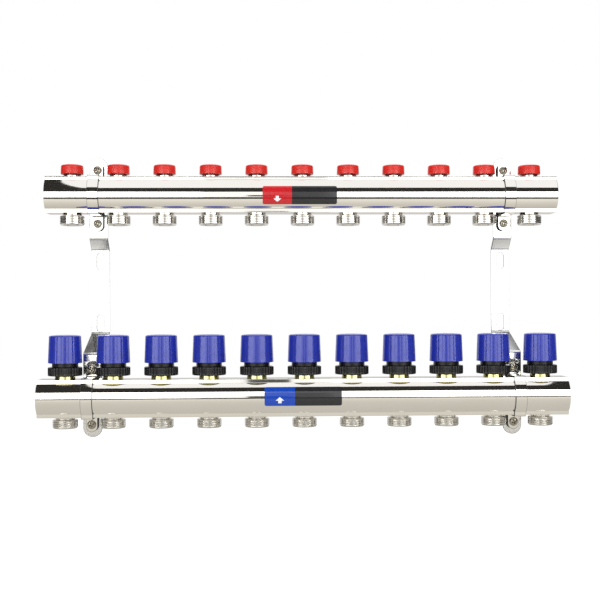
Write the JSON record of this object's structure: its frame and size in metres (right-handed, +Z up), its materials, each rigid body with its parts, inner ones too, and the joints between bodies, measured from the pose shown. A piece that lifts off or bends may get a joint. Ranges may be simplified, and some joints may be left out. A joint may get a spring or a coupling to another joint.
{
  "type": "underfloor heating manifold",
  "caption": "Two nickel bars on wall brackets: a supply bar with capped balancing valves over a return bar with manual valve heads, pipe outlets below each.",
  "frame": {"origin": "in the wall plane, midway between the two bars in height, in line with the middle outlet", "axes": "+X along the bars to the right as seen from the room, +Y into the wall, +Z up"},
  "size_m": [0.554, 0.0984, 0.303],
  "materials": {
    "nickel": "polished nickel plate on brass",
    "plated_steel": "bright zinc plated steel",
    "screw_steel": "zinc plated",
    "brass": "bright turned",
    "red_plastic": "moulded, satin gloss",
    "blue_plastic": "moulded, satin gloss",
    "black_plastic": "moulded, satin",
    "label_print": "printed vinyl label"
  },
  "bodies": {
    "root": {"supply_bar": "nickel", "return_bar": "nickel", "left_bracket": "plated_steel", "right_bracket": "plated_steel", "supply_left_strap": "plated_steel", "supply_left_upper_screw": "screw_steel", "supply_left_lower_screw": "screw_steel", "supply_right_strap": "plated_steel", "supply_right_upper_screw": "screw_steel", "supply_right_lower_screw": "screw_steel", "return_left_strap": "plated_steel", "return_left_upper_screw": "screw_steel", "return_left_lower_screw": "screw_steel", "return_right_strap": "plated_steel", "return_right_upper_screw": "screw_steel", "return_right_lower_screw": "screw_steel", "head_base_01": "black_plastic", "head_base_02": "black_plastic", "head_base_03": "black_plastic", "head_base_04": "black_plastic", "head_base_05": "black_plastic", "head_base_06": "black_plastic", "head_base_07": "black_plastic", "head_base_08": "black_plastic", "head_base_09": "black_plastic", "head_base_10": "black_plastic", "head_base_11": "black_plastic"},
    "cap_01": {"red_cap_01": "red_plastic"},
    "stem_01": {"valve_stem_01": "brass"},
    "knob_01": {"blue_knob_01": "blue_plastic"},
    "cap_02": {"red_cap_02": "red_plastic"},
    "stem_02": {"valve_stem_02": "brass"},
    "knob_02": {"blue_knob_02": "blue_plastic"},
    "cap_03": {"red_cap_03": "red_plastic"},
    "stem_03": {"valve_stem_03": "brass"},
    "knob_03": {"blue_knob_03": "blue_plastic"},
    "cap_04": {"red_cap_04": "red_plastic"},
    "stem_04": {"valve_stem_04": "brass"},
    "knob_04": {"blue_knob_04": "blue_plastic"},
    "cap_05": {"red_cap_05": "red_plastic"},
    "stem_05": {"valve_stem_05": "brass"},
    "knob_05": {"blue_knob_05": "blue_plastic"},
    "cap_06": {"red_cap_06": "red_plastic"},
    "stem_06": {"valve_stem_06": "brass"},
    "knob_06": {"blue_knob_06": "blue_plastic"},
    "cap_07": {"red_cap_07": "red_plastic"},
    "stem_07": {"valve_stem_07": "brass"},
    "knob_07": {"blue_knob_07": "blue_plastic"},
    "cap_08": {"red_cap_08": "red_plastic"},
    "stem_08": {"valve_stem_08": "brass"},
    "knob_08": {"blue_knob_08": "blue_plastic"},
    "cap_09": {"red_cap_09": "red_plastic"},
    "stem_09": {"valve_stem_09": "brass"},
    "knob_09": {"blue_knob_09": "blue_plastic"},
    "cap_10": {"red_cap_10": "red_plastic"},
    "stem_10": {"valve_stem_10": "brass"},
    "knob_10": {"blue_knob_10": "blue_plastic"},
    "cap_11": {"red_cap_11": "red_plastic"},
    "stem_11": {"valve_stem_11": "brass"},
    "knob_11": {"blue_knob_11": "blue_plastic"}
  },
  "joints": [
    {"name": "cap_01_lift", "type": "slide", "parent": "root", "child": "cap_01", "axis": [0, 0, 1], "range_m": [0, 0.014]},
    {"name": "stem_01_slide", "type": "slide", "parent": "root", "child": "stem_01", "axis": [0, 0, 1], "range_m": [-0.003, 0]},
    {"name": "knob_01_turn", "type": "hinge", "parent": "stem_01", "child": "knob_01", "pos_m": [-0.25, -0.076, -0.058], "axis": [0, 0, 1], "range_deg": [-720, 0]},
    {"name": "cap_02_lift", "type": "slide", "parent": "root", "child": "cap_02", "axis": [0, 0, 1], "range_m": [0, 0.014]},
    {"name": "stem_02_slide", "type": "slide", "parent": "root", "child": "stem_02", "axis": [0, 0, 1], "range_m": [-0.003, 0]},
    {"name": "knob_02_turn", "type": "hinge", "parent": "stem_02", "child": "knob_02", "pos_m": [-0.2, -0.076, -0.058], "axis": [0, 0, 1], "range_deg": [-720, 0]},
    {"name": "cap_03_lift", "type": "slide", "parent": "root", "child": "cap_03", "axis": [0, 0, 1], "range_m": [0, 0.014]},
    {"name": "stem_03_slide", "type": "slide", "parent": "root", "child": "stem_03", "axis": [0, 0, 1], "range_m": [-0.003, 0]},
    {"name": "knob_03_turn", "type": "hinge", "parent": "stem_03", "child": "knob_03", "pos_m": [-0.15, -0.076, -0.058], "axis": [0, 0, 1], "range_deg": [-720, 0]},
    {"name": "cap_04_lift", "type": "slide", "parent": "root", "child": "cap_04", "axis": [0, 0, 1], "range_m": [0, 0.014]},
    {"name": "stem_04_slide", "type": "slide", "parent": "root", "child": "stem_04", "axis": [0, 0, 1], "range_m": [-0.003, 0]},
    {"name": "knob_04_turn", "type": "hinge", "parent": "stem_04", "child": "knob_04", "pos_m": [-0.1, -0.076, -0.058], "axis": [0, 0, 1], "range_deg": [-720, 0]},
    {"name": "cap_05_lift", "type": "slide", "parent": "root", "child": "cap_05", "axis": [0, 0, 1], "range_m": [0, 0.014]},
    {"name": "stem_05_slide", "type": "slide", "parent": "root", "child": "stem_05", "axis": [0, 0, 1], "range_m": [-0.003, 0]},
    {"name": "knob_05_turn", "type": "hinge", "parent": "stem_05", "child": "knob_05", "pos_m": [-0.05, -0.076, -0.058], "axis": [0, 0, 1], "range_deg": [-720, 0]},
    {"name": "cap_06_lift", "type": "slide", "parent": "root", "child": "cap_06", "axis": [0, 0, 1], "range_m": [0, 0.014]},
    {"name": "stem_06_slide", "type": "slide", "parent": "root", "child": "stem_06", "axis": [0, 0, 1], "range_m": [-0.003, 0]},
    {"name": "knob_06_turn", "type": "hinge", "parent": "stem_06", "child": "knob_06", "pos_m": [0, -0.076, -0.058], "axis": [0, 0, 1], "range_deg": [-720, 0]},
    {"name": "cap_07_lift", "type": "slide", "parent": "root", "child": "cap_07", "axis": [0, 0, 1], "range_m": [0, 0.014]},
    {"name": "stem_07_slide", "type": "slide", "parent": "root", "child": "stem_07", "axis": [0, 0, 1], "range_m": [-0.003, 0]},
    {"name": "knob_07_turn", "type": "hinge", "parent": "stem_07", "child": "knob_07", "pos_m": [0.05, -0.076, -0.058], "axis": [0, 0, 1], "range_deg": [-720, 0]},
    {"name": "cap_08_lift", "type": "slide", "parent": "root", "child": "cap_08", "axis": [0, 0, 1], "range_m": [0, 0.014]},
    {"name": "stem_08_slide", "type": "slide", "parent": "root", "child": "stem_08", "axis": [0, 0, 1], "range_m": [-0.003, 0]},
    {"name": "knob_08_turn", "type": "hinge", "parent": "stem_08", "child": "knob_08", "pos_m": [0.1, -0.076, -0.058], "axis": [0, 0, 1], "range_deg": [-720, 0]},
    {"name": "cap_09_lift", "type": "slide", "parent": "root", "child": "cap_09", "axis": [0, 0, 1], "range_m": [0, 0.014]},
    {"name": "stem_09_slide", "type": "slide", "parent": "root", "child": "stem_09", "axis": [0, 0, 1], "range_m": [-0.003, 0]},
    {"name": "knob_09_turn", "type": "hinge", "parent": "stem_09", "child": "knob_09", "pos_m": [0.15, -0.076, -0.058], "axis": [0, 0, 1], "range_deg": [-720, 0]},
    {"name": "cap_10_lift", "type": "slide", "parent": "root", "child": "cap_10", "axis": [0, 0, 1], "range_m": [0, 0.014]},
    {"name": "stem_10_slide", "type": "slide", "parent": "root", "child": "stem_10", "axis": [0, 0, 1], "range_m": [-0.003, 0]},
    {"name": "knob_10_turn", "type": "hinge", "parent": "stem_10", "child": "knob_10", "pos_m": [0.2, -0.076, -0.058], "axis": [0, 0, 1], "range_deg": [-720, 0]},
    {"name": "cap_11_lift", "type": "slide", "parent": "root", "child": "cap_11", "axis": [0, 0, 1], "range_m": [0, 0.014]},
    {"name": "stem_11_slide", "type": "slide", "parent": "root", "child": "stem_11", "axis": [0, 0, 1], "range_m": [-0.003, 0]},
    {"name": "knob_11_turn", "type": "hinge", "parent": "stem_11", "child": "knob_11", "pos_m": [0.25, -0.076, -0.058], "axis": [0, 0, 1], "range_deg": [-720, 0]}
  ],
  "couplings": [
    {"joint": "stem_01_slide", "follows": "knob_01_turn", "m_per_rad": 0.0002387},
    {"joint": "stem_02_slide", "follows": "knob_02_turn", "m_per_rad": 0.0002387},
    {"joint": "stem_03_slide", "follows": "knob_03_turn", "m_per_rad": 0.0002387},
    {"joint": "stem_04_slide", "follows": "knob_04_turn", "m_per_rad": 0.0002387},
    {"joint": "stem_05_slide", "follows": "knob_05_turn", "m_per_rad": 0.0002387},
    {"joint": "stem_06_slide", "follows": "knob_06_turn", "m_per_rad": 0.0002387},
    {"joint": "stem_07_slide", "follows": "knob_07_turn", "m_per_rad": 0.0002387},
    {"joint": "stem_08_slide", "follows": "knob_08_turn", "m_per_rad": 0.0002387},
    {"joint": "stem_09_slide", "follows": "knob_09_turn", "m_per_rad": 0.0002387},
    {"joint": "stem_10_slide", "follows": "knob_10_turn", "m_per_rad": 0.0002387},
    {"joint": "stem_11_slide", "follows": "knob_11_turn", "m_per_rad": 0.0002387}
  ]
}
